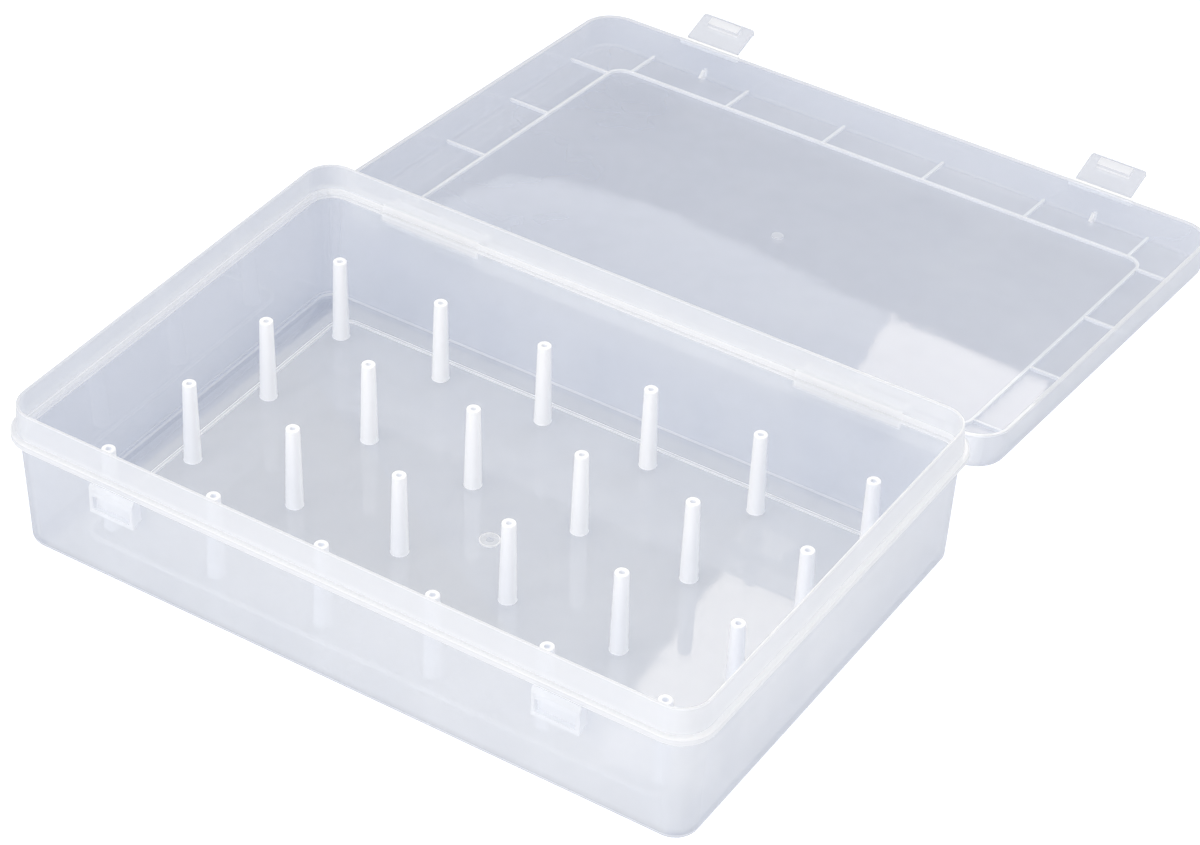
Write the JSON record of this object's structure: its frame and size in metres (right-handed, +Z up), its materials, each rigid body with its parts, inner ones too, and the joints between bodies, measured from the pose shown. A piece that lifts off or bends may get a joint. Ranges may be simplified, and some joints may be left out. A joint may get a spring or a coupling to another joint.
{
  "type": "embroidery thread box",
  "caption": "Shallow translucent box with upright spool pegs on its floor and a clip-hinged lid closed by two flap latches.",
  "frame": {"origin": "centre of the tray's underside, on the surface that it stands on", "axes": "+X along the box's length to the right, +Y from the latch side to the hinge side, +Z up"},
  "size_m": [0.31, 0.4475, 0.065],
  "materials": {
    "tray_polypropylene": "milky translucent, smooth moulded",
    "peg_polypropylene": "milky translucent, thick and so nearly white",
    "lid_polypropylene": "milky translucent, smooth moulded",
    "latch_polypropylene": "milky translucent, smooth moulded"
  },
  "bodies": {
    "base": {"base_tray": "tray_polypropylene", "spool_peg_a1": "peg_polypropylene", "spool_peg_a2": "peg_polypropylene", "spool_peg_a3": "peg_polypropylene", "spool_peg_a4": "peg_polypropylene", "spool_peg_a5": "peg_polypropylene", "spool_peg_a6": "peg_polypropylene", "spool_peg_b1": "peg_polypropylene", "spool_peg_b2": "peg_polypropylene", "spool_peg_b3": "peg_polypropylene", "spool_peg_b4": "peg_polypropylene", "spool_peg_b5": "peg_polypropylene", "spool_peg_b6": "peg_polypropylene", "spool_peg_c1": "peg_polypropylene", "spool_peg_c2": "peg_polypropylene", "spool_peg_c3": "peg_polypropylene", "spool_peg_c4": "peg_polypropylene", "spool_peg_c5": "peg_polypropylene", "spool_peg_c6": "peg_polypropylene", "spool_peg_d1": "peg_polypropylene", "spool_peg_d2": "peg_polypropylene", "spool_peg_d3": "peg_polypropylene", "spool_peg_d4": "peg_polypropylene", "spool_peg_d5": "peg_polypropylene", "spool_peg_d6": "peg_polypropylene", "catch_left": "tray_polypropylene", "catch_right": "tray_polypropylene", "hinge_bracket_left": "tray_polypropylene", "hinge_bracket_right": "tray_polypropylene", "hinge_pin_left": "tray_polypropylene", "hinge_pin_right": "tray_polypropylene"},
    "lid": {"lid_shell": "lid_polypropylene", "lid_rib_frame": "lid_polypropylene", "lid_clip_left_outer": "lid_polypropylene", "lid_clip_left_inner": "lid_polypropylene", "lid_clip_right_outer": "lid_polypropylene", "lid_clip_right_inner": "lid_polypropylene", "latch_bar_left": "latch_polypropylene", "latch_bar_right": "latch_polypropylene"},
    "latch_left": {"latch_flap_left": "latch_polypropylene"},
    "latch_right": {"latch_flap_right": "latch_polypropylene"}
  },
  "joints": [
    {"name": "lid_hinge", "type": "hinge", "parent": "base", "child": "lid", "pos_m": [0, 0.1095, 0.0498], "axis": [1, 0, 0], "range_deg": [0, 185.57]},
    {"name": "latch_left_hinge", "type": "hinge", "parent": "lid", "child": "latch_left", "pos_m": [-0.0987, 0.32509, 0.02375], "axis": [1, 0, 0], "range_deg": [-67.8, 67.8], "stiffness_Nm_per_rad": 0.002},
    {"name": "latch_right_hinge", "type": "hinge", "parent": "lid", "child": "latch_right", "pos_m": [0.0987, 0.32509, 0.02375], "axis": [1, 0, 0], "range_deg": [-67.8, 67.8], "stiffness_Nm_per_rad": 0.002}
  ]
}
